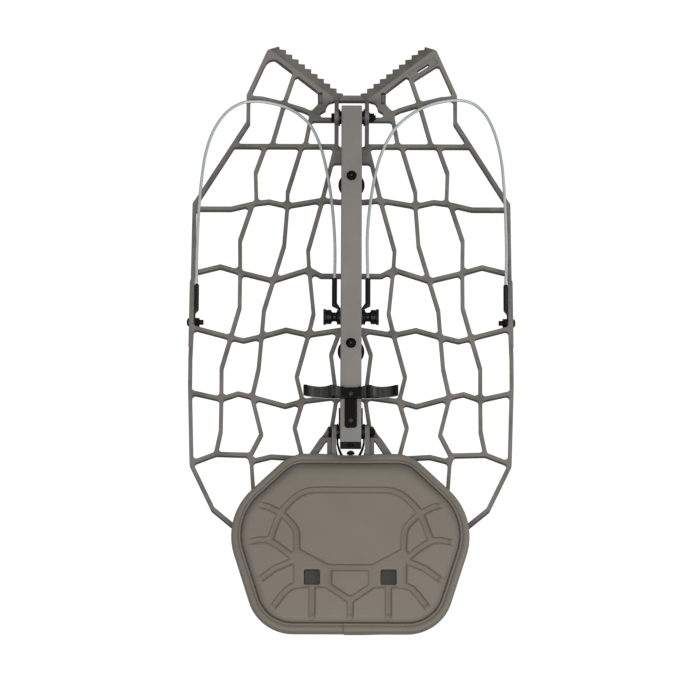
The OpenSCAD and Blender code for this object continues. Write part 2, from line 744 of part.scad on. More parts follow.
platform_casting();
platform_hinge_bolt();
platform_hinge_nut();
platform_hinge_washers();
cable_bolts();
cable_bolt_nuts();
outer_cable_lug_left();
outer_cable_lug_right();
post_tube();
post_cap_hinge_end();
post_cap_seat_end();
post_hinge_bush();
post_cross_bush();
post_seat_bush();
packing_button_upper();
packing_button_lower();
button_bolts();
button_nuts();
cross_bolt();
knob_left();
knob_right();
inner_cable_lug_left();
inner_cable_lug_right();
tree_bracket();
bracket_plate();
bracket_screws();
post_side_plates();
seat_hinge_bolt();
seat_hinge_nut();
seat_frame();
seat_bail();
seat_bumper();
seat_pan();
pan_screws();
seat_cushion();
cushion_patches();
cable_left();
cable_right();
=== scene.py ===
"""Looks of a folded hang-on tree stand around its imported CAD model: camera, light, stay cables,
seat cushion, thin spacers on the pins, and a procedural finish for every part. Lengths are in
metres in the CAD frame (+Z up, +Y towards the V claw), except that the cables' routes, the
cushion and the spacers are in millimetres."""
import json
import math

import bmesh
import bpy
import numpy as np
from mathutils import Matrix, Quaternion, Vector
from mathutils.geometry import delaunay_2d_cdt


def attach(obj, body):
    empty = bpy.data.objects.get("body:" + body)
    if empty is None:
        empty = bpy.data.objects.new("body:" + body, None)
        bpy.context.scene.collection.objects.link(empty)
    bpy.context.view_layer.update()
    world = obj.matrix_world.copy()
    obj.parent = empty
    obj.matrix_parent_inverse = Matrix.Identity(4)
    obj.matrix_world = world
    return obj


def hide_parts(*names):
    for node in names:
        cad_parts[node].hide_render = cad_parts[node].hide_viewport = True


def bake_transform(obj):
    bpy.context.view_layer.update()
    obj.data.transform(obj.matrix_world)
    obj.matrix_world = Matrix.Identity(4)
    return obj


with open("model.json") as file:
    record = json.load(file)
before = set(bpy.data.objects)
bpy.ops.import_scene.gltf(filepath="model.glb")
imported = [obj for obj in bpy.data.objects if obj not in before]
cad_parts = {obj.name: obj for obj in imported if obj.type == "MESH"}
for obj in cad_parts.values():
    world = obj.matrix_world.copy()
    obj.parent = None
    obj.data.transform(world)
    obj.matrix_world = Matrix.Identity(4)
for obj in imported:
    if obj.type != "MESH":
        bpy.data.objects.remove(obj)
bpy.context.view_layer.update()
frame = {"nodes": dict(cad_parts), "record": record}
nodes = frame["nodes"]
scene = bpy.context.scene
MM = 0.001


def object_from(bm, name):
    """Puts a finished bmesh into the scene as an object."""
    mesh = bpy.data.meshes.new(name)
    bm.to_mesh(mesh)
    bm.free()
    obj = bpy.data.objects.new(name, mesh)
    scene.collection.objects.link(obj)
    return obj


# ---------------------------------------------------------------- camera

ELEVATION = math.radians(70.5)
DISTANCE = 5.0
ROLL = math.radians(0.2)
AIM = Vector((-0.0015, -0.030, 0.020))

camera_data = bpy.data.cameras.new("camera")
camera_data.lens = 165.9
camera_data.sensor_width = 36.0
camera_data.clip_end = 60.0
camera = bpy.data.objects.new("camera", camera_data)
scene.collection.objects.link(camera)
camera.location = AIM + DISTANCE * Vector((0, -math.cos(ELEVATION), math.sin(ELEVATION)))
camera.rotation_euler = ((AIM - camera.location).to_track_quat("-Z", "Y")
                         @ Quaternion((0, 0, 1), ROLL)).to_euler()
scene.camera = camera
scene.view_settings.view_transform = "Standard"


# ---------------------------------------------------------------- node helpers

def new_material(name):
    material = bpy.data.materials.new(name)
    material.use_nodes = True
    tree = material.node_tree
    return material, tree, tree.nodes["Principled BSDF"]


def node(tree, kind, **values):
    """Adds a node; values are its properties, or inputs where the key starts with in_."""
    n = tree.nodes.new("ShaderNode" + kind)
    for key, value in values.items():
        if key.startswith("in_"):
            n.inputs[key[3:].replace("_", " ")].default_value = value
        else:
            setattr(n, key, value)
    return n


def link(tree, source, target):
    tree.links.new(source, target)


def math_node(tree, operation, a, b=None, c=None):
    """A maths node's output; each operand is a number or another node's output."""
    n = node(tree, "Math", operation=operation)
    for socket, value in zip(n.inputs, (a, b, c)):
        if value is None:
            continue
        if isinstance(value, (int, float)):
            socket.default_value = value
        else:
            link(tree, value, socket)
    return n.outputs[0]


def noise(tree, coordinates, scale, detail=2.0, roughness=0.5):
    n = node(tree, "TexNoise", in_Scale=scale, in_Detail=detail, in_Roughness=roughness)
    link(tree, coordinates, n.inputs["Vector"])
    return n.outputs["Fac"]


def remap(tree, value, low, high, to_low=0.0, to_high=1.0):
    n = node(tree, "MapRange")
    link(tree, value, n.inputs["Value"])
    for key, v in (("From Min", low), ("From Max", high), ("To Min", to_low), ("To Max", to_high)):
        n.inputs[key].default_value = v
    return n.outputs["Result"]


def mix_colour(tree, factor, a, b):
    n = node(tree, "Mix", data_type="RGBA")
    if isinstance(factor, (int, float)):
        n.inputs[0].default_value = factor
    else:
        link(tree, factor, n.inputs[0])
    for socket, value in ((n.inputs[6], a), (n.inputs[7], b)):
        if isinstance(value, tuple):
            socket.default_value = (*value, 1)
        else:
            link(tree, value, socket)
    return n.outputs[2]


def shade(colour, gain):
    return tuple(min(1.0, c * gain) for c in colour)


def object_coordinates(tree):
    return node(tree, "TexCoord").outputs["Object"]


def bump(tree, bsdf, height, distance, strength=1.0, rounding=None):
    n = node(tree, "Bump", in_Strength=strength, in_Distance=distance)
    link(tree, height, n.inputs["Height"])
    if rounding is not None:
        link(tree, rounding, n.inputs["Normal"])
    link(tree, n.outputs["Normal"], bsdf.inputs["Normal"])


def edge_mask(tree, radius):
    """Bevelled normal, and a mask that is 1 on sharp edges and 0 on flat faces."""
    bevel = node(tree, "Bevel", samples=4, in_Radius=radius)
    flat = node(tree, "NewGeometry")
    dot = node(tree, "VectorMath", operation="DOT_PRODUCT")
    link(tree, bevel.outputs["Normal"], dot.inputs[0])
    link(tree, flat.outputs["Normal"], dot.inputs[1])
    return bevel.outputs["Normal"], remap(tree, dot.outputs["Value"], 0.995, 0.90)


def coated(name, colour, roughness=0.55, grain=1500.0, grain_depth=0.00006, mottle=0.05,
           wear=None, wear_amount=0.0, metallic=0.0, specular=0.5):
    """A coated or moulded surface: fine grain, slow mottling, softened edges and edge wear."""
    speckle = 0.10
    edge = 0.0007
    material, tree, bsdf = new_material(name)
    place = object_coordinates(tree)
    fine = noise(tree, place, grain, 3.0, 0.6)
    slow = noise(tree, place, 22.0, 3.0)
    gain = math_node(tree, "ADD", remap(tree, fine, 0.3, 0.7, -speckle, speckle),
                     remap(tree, slow, 0.3, 0.7, -mottle, mottle))
    factor = remap(tree, gain, -0.3, 0.3)
    base = mix_colour(tree, factor, shade(colour, 0.7), shade(colour, 1.3))
    rounded, edges = edge_mask(tree, edge)
    if wear is not None:
        patchy = remap(tree, noise(tree, place, 90.0, 4.0, 0.7), 0.42, 0.62)
        worn = math_node(tree, "MULTIPLY", math_node(tree, "MULTIPLY", edges, patchy), wear_amount)
        base = mix_colour(tree, worn, base, wear)
    link(tree, base, bsdf.inputs["Base Color"])
    link(tree, remap(tree, slow, 0.3, 0.7, roughness - 0.05, roughness + 0.06),
         bsdf.inputs["Roughness"])
    bsdf.inputs["Metallic"].default_value = metallic
    bsdf.inputs["Specular IOR Level"].default_value = specular
    bump(tree, bsdf, fine, grain_depth, rounding=rounded)
    return material


# ---------------------------------------------------------------- colours, linear

TAUPE = (0.232, 0.221, 0.202)
CASTING = (0.201, 0.188, 0.168)
CASTING_BAND = (0.242, 0.229, 0.208)
CLOTH = (0.197, 0.174, 0.140)
CLOTH_DARK = (0.150, 0.133, 0.112)
BLACK = (0.0045, 0.0045, 0.0045)
SOFT_BLACK = (0.010, 0.010, 0.010)
STEEL_WEAR = (0.10, 0.10, 0.097)
# painted shade on the casting's faces that look towards -Y
CASTING_FRONT_SHADE = (0.052, 0.050, 0.046)
CASTING_WEAR = (0.36, 0.35, 0.33)
SEAT_FRAME = (0.128, 0.121, 0.110)
# painted highlight along the front of the bracket's lobes
RIM_HIGHLIGHT = (0.85, 0.84, 0.80)


# ---------------------------------------------------------------- stay cables

CABLE_D = 0.0048
ROUTE_STEPS = 6                   # curve points for each point of a route
CABLE_SIDES = 20
ROUTE_LEFT = [
    (-25.9, 80, 43), (-25.4, 110, 42.6), (-26, 145, 40), (-28.5, 185, 35), (-32.5, 225, 28.5),
    (-39, 268, 21.5), (-49, 312, 17.4), (-64, 347, 17), (-85, 369, 17), (-108, 382, 17),
    (-134, 389, 17), (-156, 391, 17), (-178, 387, 17), (-200, 371, 17), (-219, 341, 17),
    (-231, 302, 17), (-237, 255, 17), (-240, 210, 17), (-241.5, 165, 17), (-242, 125, 17.6),
    (-241.8, 100, 19), (-241.2, 79.2, 18.1)]
ROUTE_RIGHT = [
    (25.9, 80, 43), (25.2, 110, 42.6), (24.8, 145, 40), (27, 185, 35), (31.5, 225, 28.5),
    (38.5, 268, 21.5), (50, 308, 17.4), (70, 346, 17), (97, 371, 17), (123, 385, 17),
    (148, 392, 17), (172, 394, 17), (195, 387, 17), (214, 367, 17), (228, 334, 17),
    (237, 291, 17), (241, 240, 17), (242.6, 190, 17), (243.2, 150, 17.2), (243, 122, 17.8),
    (242.2, 99, 19), (241.2, 79.2, 18.1)]


def smooth_route(route, steps):
    """Points on the Catmull-Rom curve through a route given in millimetres, in metres."""
    p = [Vector(q) * MM for q in route]
    points = []
    for i in range(len(p) - 1):
        a, b, c, d = p[max(i - 1, 0)], p[i], p[i + 1], p[min(i + 2, len(p) - 1)]
        for s in range(steps):
            t = s / steps
            points.append(0.5 * (2 * b + (c - a) * t + (2 * a - 5 * b + 4 * c - d) * t * t
                                 + (3 * b - a - 3 * c + d) * t ** 3))
    return points + [p[-1]]


def tube_mesh(name, points, radius, sides):
    """A closed round tube whose UVs run once round it in U and by length in V, in metres."""
    bm = bmesh.new()
    uv = bm.loops.layers.uv.new("UVMap")
    up = Vector((0, 0, 1))
    rings, run, length = [], [], 0.0
    for i, p in enumerate(points):
        along = (points[min(i + 1, len(points) - 1)] - points[max(i - 1, 0)]).normalized()
        side = along.cross(up).normalized()
        up = side.cross(along).normalized()
        rings.append([bm.verts.new(p + radius * (side * math.cos(k * math.tau / sides)
                                                 + up * math.sin(k * math.tau / sides)))
                      for k in range(sides)])
        length += (p - points[i - 1]).length if i else 0.0
        run.append(length)
    for i in range(len(points) - 1):
        for k in range(sides):
            n = (k + 1) % sides
            face = bm.faces.new((rings[i][k], rings[i][n], rings[i + 1][n], rings[i + 1][k]))
            face.smooth = True
            for loop, (u, v) in zip(face.loops, ((k, i), (k + 1, i), (k + 1, i + 1), (k, i + 1))):
                loop[uv].uv = (u / sides, run[v])
    bm.faces.new(list(reversed(rings[0])))
    bm.faces.new(rings[-1])
    bmesh.ops.recalc_face_normals(bm, faces=bm.faces)
    return object_from(bm, name), length


def cable_material():
    """Steel strands seen through a clear vinyl coat."""
    material, tree, bsdf = new_material("coated_cable")
    place = node(tree, "TexCoord").outputs["UV"]
    split = node(tree, "SeparateXYZ")
    link(tree, place, split.inputs[0])
    turn = math_node(tree, "ADD", math_node(tree, "MULTIPLY", split.outputs["X"], 7.0),
                     math_node(tree, "MULTIPLY", split.outputs["Y"], 150.0))
    strand = math_node(tree, "ABSOLUTE", math_node(
        tree, "SUBTRACT", math_node(tree, "MULTIPLY", math_node(tree, "FRACT", turn), 2.0), 1.0))
    groove = remap(tree, strand, 0.55, 1.0)
    cloud = noise(tree, object_coordinates(tree), 60.0, 2.0)
    metal = mix_colour(tree, cloud, (0.47, 0.51, 0.505), (0.60, 0.64, 0.635))
    link(tree, mix_colour(tree, math_node(tree, "MULTIPLY", groove, 0.4), metal,
                          (0.26, 0.28, 0.28)), bsdf.inputs["Base Color"])
    bsdf.inputs["Metallic"].default_value = 0.15
    bsdf.inputs["Roughness"].default_value = 0.42
    bsdf.inputs["Coat Weight"].default_value = 0.7
    bsdf.inputs["Coat Roughness"].default_value = 0.14
    height = math_node(tree, "SUBTRACT", 1.0, groove)
    bump(tree, bsdf, height, 0.00015, 0.5)
    return material


cable_finish = cable_material()
for side_name, route in (("left", ROUTE_LEFT), ("right", ROUTE_RIGHT)):
    path = smooth_route(route, ROUTE_STEPS)
    cable, cable_length = tube_mesh("stay_cable_" + side_name, path, CABLE_D / 2, CABLE_SIDES)
    cable.data.materials.append(cable_finish)
    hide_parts("cable_" + side_name)
    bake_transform(cable)


# ---------------------------------------------------------------- cushion, in millimetres

BASE_Z = 45.3
# Corners of the outline, each with the radius that rounds it.
CORNERS = [(91.5, -211, 50), (194, -310.5, 100), (136, -491.5, 70),
           (-136, -491.5, 70), (-194, -310.5, 100), (-91.5, -211, 50)]
OUTLINE_STEP = 1.7
POST_SIDE_Y = -250                # the edge next to the post lies past this

LAP_X = -9.5                      # where the binding's end laps over its start
LAP_GAP = 0.12                    # from the lap to the outline point on each side of it
LAP_RISE = 0.9

SEAM = 15.0                       # inset of the crease inside the binding's edge
SEAM_Z = 12.6                     # height of that crease above the base
VALLEY = 10.4                     # inset of the stitched valley along the binding

# Section of the rolled border: inset from the outline, height above the base.
BORDER = [(4.6, 0.0), (2.2, 0.5), (0.7, 2.0), (0.1, 4.5), (0.0, 8.0), (0.2, 11.0), (0.9, 13.6),
          (2.1, 15.6), (3.8, 16.9), (5.8, 17.4), (7.8, 17.3), (9.2, 16.7), (9.9, 16.0),
          (VALLEY, 15.6), (10.9, 16.0), (11.6, 16.6), (12.7, 16.8), (13.6, 16.5), (14.1, 15.8),
          (14.3, 14.4), (14.6, 13.0), (SEAM, SEAM_Z)]
BORDER_INNER = 14.0               # from this inset on, the border turns down into the seam

# The edge next to the post is pressed down in the middle, and bulges out each side of that.
DIP_DEPTH = 4.5
DIP_RUN = 36
DIP_HALF = 118
DIP_FADE = 40
DIP_FULL_HEIGHT = 12              # border points this high or higher go down by the whole dip
BULGE = 2.3
BULGE_START, BULGE_RISE = 10, 38
BULGE_END, BULGE_FALL = 72, 26
POST_SHADE_HALF = 38                  # half width of the painted shade by the post

# The face inside the seam: a lip, a shoulder and a low crown, each with its rise and its run.
LIP_RISE, LIP_RUN = 3.5, 1.5
SHOULDER_RISE, SHOULDER_RUN = 3.1, 11.0
CROWN_RISE, CROWN_START, CROWN_RUN = 1.6, 8, 70.0
CHANNEL_START, CHANNEL_RUN = 3, 8.0

WINDOW = 24.6
WINDOW_CORNER = 2.6
WINDOWS = ((-57.5, -406.0), (57.5, -406.0))
# Rings down a window's lip and wall: how far in, how far down (None is the base), and painted
# shade.
WINDOW_LIP = ((0.25, 0.2, 0.8), (0.45, 0.6, 0.3), (0.55, 1.4, 0.3), (0.55, None, 0.3))

# Centre lines of the pressed channels, left half. The last number is how far the channel fades
# out at its first end, 0 for a channel that joins others at both ends.
CHANNELS = [
    ([(-104, -304), (-96, -294.5), (-87, -285), (-76.5, -276.5), (-65, -271.8), (-54, -270.3),
      (0, -270.2)], 0),
    ([(-137, -294), (-125, -296.5), (-112, -303.5), (-104, -308)], 7),
    ([(-106, -308), (-111, -320), (-116, -334), (-120, -346)], 0),
    ([(-102, -309), (-90, -321.5), (-83.5, -330), (-81, -339), (-80, -366)], 0),
    ([(-153, -352), (-137, -349), (-125, -349), (-112, -356), (-101, -364), (-86, -377)], 7),
    ([(-136, -411), (-113, -393.5), (-84, -381)], 7),
    ([(-116, -454), (-102, -434.5), (-92, -424), (-84, -420.3), (-74, -419)], 7),
    ([(-34, -392), (0, -392)], 0),
    ([(-33, -420), (0, -442.5)], 0),
    ([(0, -469), (0, -440)], 7),
    ([(-57, -469), (-57, -420)], 7),
]
CHANNEL_HALF = 4.6
RECESS = [(-86, -366), (-75, -364), (-33, -387), (-27.5, -387), (-27.5, -423), (-84.5, -423),
          (-85, -378), (-91, -374)]
CHANNEL_DEPTH = 3.2
WALL = 1.9

# Spacing of the panel's points.
GRID_X, GRID_Y, GRID_SQUEEZE = 2.0, 2.5, 0.98
GRID_SHIFT = 0.5                  # every other row of the grid is moved this far each way
GRID_CLEAR = 4.2                  # the grid stays this far inside the seam
LIP_INSETS = (0.45, 1.0, 1.7, 2.9)
WALL_STEP = 1.7
WALL_ROWS = (-1.1, -0.55, 0, 0.55, 1.1)
WALL_REACH = 1.3                  # rows of points further than this from a wall are left out
WALL_CLEAR = 3.8                  # the rows stay this far inside the seam
CELL = 0.4
WINDOW_STEP = 1.6
WINDOW_CLEAR = 0.8


def sides(polygon):
    """The sides of a closed polygon, as pairs of corners."""
    return zip(polygon, polygon[1:] + polygon[:1])


def rounded_outline(corners, spacing):
    """Points and outward normals along a convex outline with rounded corners, clockwise or not."""
    out = []
    count = len(corners)
    for i in range(count):
        a, b, c = (np.array(corners[(i + k) % count][:2], float) for k in (-1, 0, 1))
        radius = corners[i][2]
        u, v = (a - b) / np.linalg.norm(a - b), (c - b) / np.linalg.norm(c - b)
        half = math.acos(float(u @ v)) / 2
        centre = b + (u + v) / np.linalg.norm(u + v) * radius / math.sin(half)
        first = b + u * radius / math.tan(half) - centre
        last = b + v * radius / math.tan(half) - centre
        a0, a1 = math.atan2(first[1], first[0]), math.atan2(last[1], last[0])
        sweep = (a1 - a0 + math.pi) % math.tau - math.pi
        steps = max(2, round(abs(sweep) * radius / spacing))
        arc = [a0 + sweep * s / steps for s in range(steps + 1)]
        turn = [(centre + radius * np.array((math.cos(t), math.sin(t))),
                 np.array((math.cos(t), math.sin(t)))) for t in arc]
        if out:
            out += straight_run(out[-1], turn[0], spacing)
        out += turn
    out += straight_run(out[-1], out[0], spacing)
    return np.array([p for p, _ in out]), np.array([n for _, n in out])


def straight_run(start, end, spacing):
    """Points between two outline points, without either of them, all with the first's normal."""
    p0, p1 = start[0], end[0]
    gaps = max(1, round(np.linalg.norm(p1 - p0) / spacing))
    return [(p0 + (p1 - p0) * s / gaps, start[1]) for s in range(1, gaps)]


def segment_distance(p, a, b):
    """Distance from each row of p to a segment, and how far along it the nearest point is."""
    a, b = np.array(a, float), np.array(b, float)
    d = b - a
    t = np.clip(((p - a) @ d) / (d @ d), 0, 1)
    return np.linalg.norm(p - (a + t[:, None] * d), axis=1), t * np.linalg.norm(d)


def inside_polygon(p, polygon):
    """Whether each row of p is inside a polygon."""
    inside = np.zeros(len(p), bool)
    for (x0, y0), (x1, y1) in sides(polygon):
        if y0 == y1:
            continue
        crosses = (p[:, 1] < y0) != (p[:, 1] < y1)
        inside ^= crosses & (p[:, 0] < x0 + (p[:, 1] - y0) * (x1 - x0) / (y1 - y0))
    return inside


def polygon_distance(p, polygon):
    """Signed distance to a polygon's edge, negative inside."""
    d = np.min([segment_distance(p, a, b)[0] for a, b in sides(polygon)], axis=0)
    return np.where(inside_polygon(p, polygon), -d, d)


def smoothstep(x):
    x = np.clip(x, 0, 1)
    return x * x * (3 - 2 * x)


def quarter_wave(x):
    """Rises from 0 to 1 as the first quarter of a sine wave does."""
    return np.sin(np.clip(x, 0, 1) * math.pi / 2)


def channel_field(points):
    """How deep the pressed pattern is at each point, and the signed distance to its walls."""
    p = points.copy()
    p[:, 0] = -np.abs(p[:, 0])
    depth = np.zeros(len(p))
    wall = np.full(len(p), 1e9)
    for line, fade in CHANNELS:
        before = 0.0
        for a, b in zip(line, line[1:]):
            d, along = segment_distance(p, a, b)
            signed = d - CHANNEL_HALF
            here = smoothstep(0.5 - signed / WALL)
            if fade:
                here *= smoothstep((before + along) / fade)
            depth = np.maximum(depth, here)
            wall = np.minimum(wall, signed)
            before += math.dist(a, b)
    signed = polygon_distance(p, RECESS)
    depth = np.maximum(depth, smoothstep(0.5 - signed / WALL))
    return depth, np.minimum(wall, signed)


outline, outward = rounded_outline(CORNERS, OUTLINE_STEP)
# The lap in the binding needs an abrupt step, so two outline points stand close together there.
bottom = np.abs(outline[:, 1] - CORNERS[2][1]) < 0.01
nearest = int(np.argmin(np.where(bottom, np.abs(outline[:, 0] - LAP_X), 1e9)))
neighbour = nearest + 1 if outline[nearest + 1, 0] < outline[nearest, 0] else nearest - 1
outline[nearest, 0] = LAP_X + LAP_GAP
outline[neighbour, 0] = LAP_X - LAP_GAP
EDGE = [tuple(q) for q in outline]


def outline_inset(points):
    """How far inside the cushion's outline each point is."""
    best = np.full(len(points), 1e9)
    for a, b in sides(EDGE[::3]):
        best = np.minimum(best, segment_distance(points, a, b)[0])
    return best


def front_dip(x, y):
    """How far the cushion's edge next to the post is pressed down."""
    return (DIP_DEPTH * smoothstep((y - POST_SIDE_Y) / DIP_RUN)
            * smoothstep((DIP_HALF - np.abs(x)) / DIP_FADE))


def top_bulge(x, y, inset):
    """How far the binding bulges out each side of the dip, along the edge next to the post."""
    if y < POST_SIDE_Y:
        return 0.0
    rise = smoothstep((abs(x) - BULGE_START) / BULGE_RISE)
    rise = rise * (1 - smoothstep((abs(x) - BULGE_END) / BULGE_FALL))
    return BULGE * float(rise) * max(0.0, 1 - inset / SEAM)


def lap_rise(x, y):
    """How much thicker the binding is past its lap, where one end lies on the other."""
    flat_run, fade = 22, 40
    if y > -470 or x < LAP_X:
        return 0.0
    return LAP_RISE * float(1 - smoothstep((x - LAP_X - flat_run) / fade))


def panel_height(points, inset):
    """Height of the cushion's face over the base."""
    d = inset - SEAM
    lip = 1 - (1 - np.clip(d / LIP_RUN, 0, 1)) ** 2
    shoulder = SEAM_Z + LIP_RISE * lip + SHOULDER_RISE * quarter_wave(d / SHOULDER_RUN)
    crown = CROWN_RISE * quarter_wave((d - CROWN_START) / CROWN_RUN)
    depth, _ = channel_field(points)
    fade = smoothstep((d - CHANNEL_START) / CHANNEL_RUN)
    return shoulder + crown - CHANNEL_DEPTH * depth * fade - front_dip(points[:, 0], points[:, 1])


def panel_shade(points, inset):
    """Tone of the face, all painted shade: dark in the crease by the binding, in the band beside
    it, which is wider and darker towards the post, and on the walls of the channels."""
    depth, wall = channel_field(points)
    d = np.clip(inset - SEAM, 0, None)
    creased = 0.60 + 0.40 * smoothstep(d / 2.2)
    near_post = smoothstep((points[:, 1] + 345) / 120)
    band_width = 6.0 + 4.9 * near_post
    shaded_band = 1 - (0.28 + 0.12 * near_post) * np.exp(-(d / band_width) ** 2.2)
    middle = np.exp(-(points[:, 0] / POST_SHADE_HALF) ** 2)
    shaded_band *= 1 - 0.33 * near_post * middle * np.exp(-(d / 5) ** 1.3)
    return creased * shaded_band * (1 - 0.28 * np.exp(-(wall / 1.2) ** 2)) * (1 - 0.05 * depth)


def border_shade(inset, x, y):
    """Tone of the binding, all painted shade: darker on its inner part, in the valley and by the
    seam, and on the roll next to the post."""
    tone = (0.88 + 0.12 * (inset < 5) - 0.22 * math.exp(-((inset - VALLEY) / 0.6) ** 2)
            - 0.26 * (inset > BORDER_INNER))
    post_shade = 0.58 * math.exp(-((inset - 6.5) / 3.8) ** 2)
    return tone * (1 - post_shade * (y > POST_SIDE_Y) * math.exp(-(x / POST_SHADE_HALF) ** 2))


def bridge(bm, lower, upper):
    """A band of faces between two rings of as many vertices."""
    for k in range(len(lower)):
        n = (k + 1) % len(lower)
        bm.faces.new((lower[k], lower[n], upper[n], upper[k]))


def border_rings(bm, tone):
    """Rings of vertices along the border's section, from its foot to the seam."""
    rings = []
    for inset, height in BORDER:
        ring = []
        for p, n in zip(outline, outward):
            lift = lap_rise(p[0], p[1]) if height > 1 and inset < BORDER_INNER else 0.0
            q = p - n * (inset - lift * (1 if inset < 6 else 0))
            z = BASE_Z + height + lift * (1 if inset > 1 else 0)
            z -= float(front_dip(p[0], p[1])) * min(1.0, height / DIP_FULL_HEIGHT)
            q[1] += top_bulge(p[0], p[1], inset)
            vertex = bm.verts.new((q[0] * MM, q[1] * MM, z * MM))
            vertex[tone] = border_shade(inset, p[0], p[1])
            ring.append(vertex)
        rings.append(ring)
    return rings


def wall_points(a, b, offsets):
    """Points in rows along a straight line, one row at each offset to its side."""
    a, b = np.array(a, float), np.array(b, float)
    d = (b - a) / np.linalg.norm(b - a)
    n = np.array((-d[1], d[0]))
    steps = max(1, round(np.linalg.norm(b - a) / WALL_STEP))
    return [a + (b - a) * (s + 0.5) / steps + n * offset
            for s in range(steps) for offset in offsets]


def panel_points():
    """Points over the panel: an even grid, rows along the channels' walls, and the lip's rings."""
    grid = np.array([(ix * GRID_X + (GRID_SHIFT if iy % 2 else -GRID_SHIFT),
                      iy * GRID_Y * GRID_SQUEEZE)
                     for ix in range(-96, 97) for iy in range(-200, -90)])
    inset = np.where(inside_polygon(grid, EDGE), outline_inset(grid), -1)
    grid = grid[inset > SEAM + GRID_CLEAR]
    _, wall = channel_field(grid)
    grid = grid[np.abs(wall) > WALL]
    both_walls = [side * (CHANNEL_HALF + row) for row in WALL_ROWS for side in (-1, 1)]
    rows = []
    for line, _ in CHANNELS:
        for a, b in zip(line, line[1:]):
            rows += wall_points(a, b, both_walls)
    for a, b in sides(RECESS):
        rows += wall_points(a, b, WALL_ROWS)
    rows = np.array(rows)
    rows = rows[rows[:, 0] < 0.01]
    _, wall = channel_field(rows)
    rows = rows[np.abs(wall) < WALL_REACH]
    rows = rows[outline_inset(rows) > SEAM + WALL_CLEAR]
    rows = np.vstack((rows, rows * (-1, 1)))
    lip = [outline - outward * (SEAM + inset) for inset in LIP_INSETS]
    points = np.vstack([grid, rows] + lip)
    # Only the first point in each small cell is kept: two so close would only make slivers.
    cells = {}
    for i, q in enumerate(points):
        cells.setdefault((round(q[0] / CELL), round(q[1] / CELL)), i)
    return points[list(cells.values())]


def window_ring(cx, cy):
    """Points round a window with rounded corners."""
    reach = WINDOW / 2 - WINDOW_CORNER
    ring = []
    for sx, sy, start in ((1, 1, 0), (-1, 1, 90), (-1, -1, 180), (1, -1, 270)):
        for s in range(7):
            t = math.radians(start + 15 * s)
            ring.append((cx + sx * reach + WINDOW_CORNER * math.cos(t),
                         cy + sy * reach + WINDOW_CORNER * math.sin(t)))
    filled = []
    for a, b in sides(ring):
        steps = max(1, round(math.dist(a, b) / WINDOW_STEP))
        filled += [(a[0] + (b[0] - a[0]) * s / steps, a[1] + (b[1] - a[1]) * s / steps)
                   for s in range(steps)]
    return filled


def triangulate(loops, points, tolerance):
    """A triangulation inside the first loop and outside the others: its points, the faces, and
    which of the points given each of its points stands for."""
    coords, edges = [], []
    for loop in loops:
        first, size = len(coords), len(loop)
        edges += [(first + k, first + (k + 1) % size) for k in range(size)]
        coords += [Vector(q) for q in loop]
    coords += [Vector(q) for q in points]
    flat, _, faces, origin, _, _ = delaunay_2d_cdt(coords, edges, [], 0, tolerance)
    flat = np.array([tuple(v) for v in flat])
    centres = np.array([np.mean([flat[i] for i in f], axis=0) for f in faces])
    wanted = inside_polygon(centres, loops[0])
    for loop in loops[1:]:
        wanted &= ~inside_polygon(centres, loop)
    return flat, [f for f, use in zip(faces, wanted) if use], origin


def make_panel(bm, tone, rim):
    """The face inside the seam's ring of vertices. Returns the vertices round each window."""
    points = panel_points()
    for cx, cy in WINDOWS:
        away = np.maximum(np.abs(points[:, 0] - cx), np.abs(points[:, 1] - cy))
        points = points[away > WINDOW / 2 + WINDOW_CLEAR]
    seam = [tuple(q) for q in outline - outward * SEAM]
    loops = [seam] + [window_ring(cx, cy) for cx, cy in WINDOWS]
    flat, faces, origin = triangulate(loops, points, 1e-5)
    insets = outline_inset(flat)
    heights = panel_height(flat, insets)
    tones = panel_shade(flat, insets)
    made, stands_for = [], {}
    for i, sources in enumerate(origin):
        on_rim = [s for s in sources if s < len(rim)]
        if on_rim:
            vertex = rim[on_rim[0]]
        else:
            vertex = bm.verts.new(
                (flat[i, 0] * MM, flat[i, 1] * MM, (BASE_Z + heights[i]) * MM))
            vertex[tone] = float(tones[i])
        made.append(vertex)
        stands_for.update((s, vertex) for s in sources)
    for f in faces:
        bm.faces.new([made[i] for i in f])
    tops, first = [], len(seam)
    for loop in loops[1:]:
        tops.append([stands_for[first + k] for k in range(len(loop))])
        first += len(loop)
    return tops


def make_window(bm, tone, top, cx, cy):
    """A softly rounded lip that turns down into walls, both darkened by painted shade. Returns the
    ring at the underside.
    """
    previous = top
    for draw, drop, wall_shade in WINDOW_LIP:
        scale = 1 - draw / (WINDOW / 2)
        ring = []
        for v in top:
            x, y = v.co.x - cx * MM, v.co.y - cy * MM
            z = BASE_Z * MM if drop is None else v.co.z - drop * MM
            vertex = bm.verts.new((cx * MM + x * scale, cy * MM + y * scale, z))
            vertex[tone] = wall_shade
            ring.append(vertex)
        bridge(bm, previous, ring)
        previous = ring
    return previous


def make_underside(bm, groups):
    """A flat face inside the first ring of vertices and outside the others."""
    owners = [v for group in groups for v in group]
    loops = [[(v.co.x, v.co.y) for v in group] for group in groups]
    _, faces, origin = triangulate(loops, [], 1e-8)
    for f in faces:
        bm.faces.new([owners[origin[i][0]] for i in f])


def make_cushion():
    """The cushion: its border, the face with its windows, and a flat underside."""
    bm = bmesh.new()
    tone = bm.verts.layers.float.new("shade")
    rings = border_rings(bm, tone)
    for lower, upper in zip(rings, rings[1:]):
        bridge(bm, lower, upper)
    tops = make_panel(bm, tone, rings[-1])
    bottoms = [make_window(bm, tone, top, *centre) for top, centre in zip(tops, WINDOWS)]
    make_underside(bm, [rings[0]] + bottoms)
    bmesh.ops.recalc_face_normals(bm, faces=bm.faces)
    for face in bm.faces:
        face.smooth = True
    # Slivers along the seam's straight stretches keep this count above zero.
    open_edges = sum(1 for e in bm.edges if len(e.link_faces) != 2)
    print("cushion faces", len(bm.faces), "open edges", open_edges)
    return object_from(bm, "cushion")


